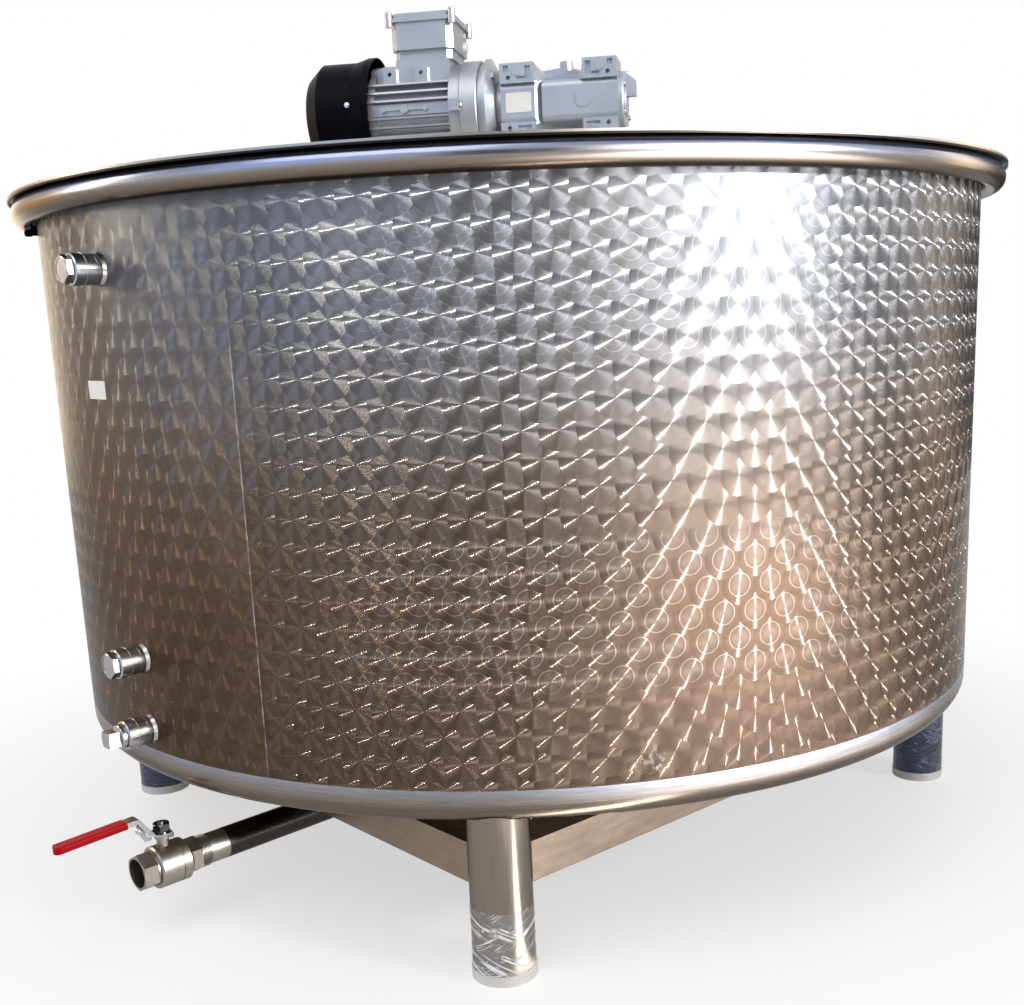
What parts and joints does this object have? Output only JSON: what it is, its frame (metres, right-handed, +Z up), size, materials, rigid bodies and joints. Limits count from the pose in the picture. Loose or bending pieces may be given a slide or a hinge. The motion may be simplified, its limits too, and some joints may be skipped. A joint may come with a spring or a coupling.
{
  "type": "mixing tank",
  "caption": "Round stainless mixing tank on legs with a flat lid, geared motor on top, plugged wall ports and a lever ball valve on the drain.",
  "frame": {"origin": "on the floor, on the axis of the round tank, midway between the legs", "axes": "+Z up, -Y towards the drain valve and the ports, legs on the diagonals of X and Y"},
  "size_m": [1.678, 1.8046, 1.3961],
  "materials": {
    "polished_steel": "circle polished stainless sheet",
    "brushed_sheet": "brushed stainless sheet",
    "lid_sheet": "brushed stainless lid",
    "frame_tube": "satin stainless tube",
    "foot_cap": "pale plastic cap",
    "pipe_dark": "dark pipe",
    "fitting_steel": "machined stainless",
    "ball_chrome": "polished ball",
    "lever_steel": "pressed steel",
    "grip_red": "moulded red sleeve",
    "gear_casting": "painted casting",
    "motor_casting": "cast aluminium",
    "cowl_black": "black sheet cowl"
  },
  "bodies": {
    "tank": {"wall_sheet_front": "polished_steel", "rim_front": "brushed_sheet", "beam_front": "frame_tube", "wall_sheet_right": "polished_steel", "rim_right": "brushed_sheet", "beam_right": "frame_tube", "wall_sheet_back": "polished_steel", "rim_back": "brushed_sheet", "beam_back": "frame_tube", "wall_sheet_left": "polished_steel", "rim_left": "brushed_sheet", "beam_left": "frame_tube", "leg_front_right": "frame_tube", "leg_back_right": "frame_tube", "leg_back_left": "frame_tube", "leg_front_left": "frame_tube", "leg_feet": "foot_cap", "tank_bottom": "brushed_sheet", "lid_front_leaf": "lid_sheet", "lid_back_leaf": "lid_sheet", "lid_bridge": "lid_sheet", "port_sockets": "fitting_steel", "port_plugs": "fitting_steel", "drain_pipe": "pipe_dark", "drain_nipple": "fitting_steel", "valve_body": "fitting_steel", "valve_end": "fitting_steel", "drive_pedestal": "gear_casting", "gear_housing": "gear_casting", "gear_output_cover": "gear_casting", "gear_end_cover": "gear_casting", "gear_side_plug": "gear_casting", "motor_flange": "motor_casting", "motor_end_shield": "motor_casting", "motor_frame": "motor_casting", "fan_cowl": "cowl_black", "terminal_box": "motor_casting", "terminal_lid": "motor_casting", "stirrer_shaft": "fitting_steel", "stirrer_blades": "fitting_steel"},
    "lever": {"valve_lever": "lever_steel", "lever_grip": "grip_red", "lever_nut": "fitting_steel", "valve_stem": "fitting_steel", "valve_ball": "ball_chrome"}
  },
  "joints": [
    {"name": "valve_turn", "type": "hinge", "parent": "tank", "child": "lever", "pos_m": [0.05023, -0.79842, 0.10307], "axis": [0, 0, 1], "range_deg": [-90, 0]}
  ]
}
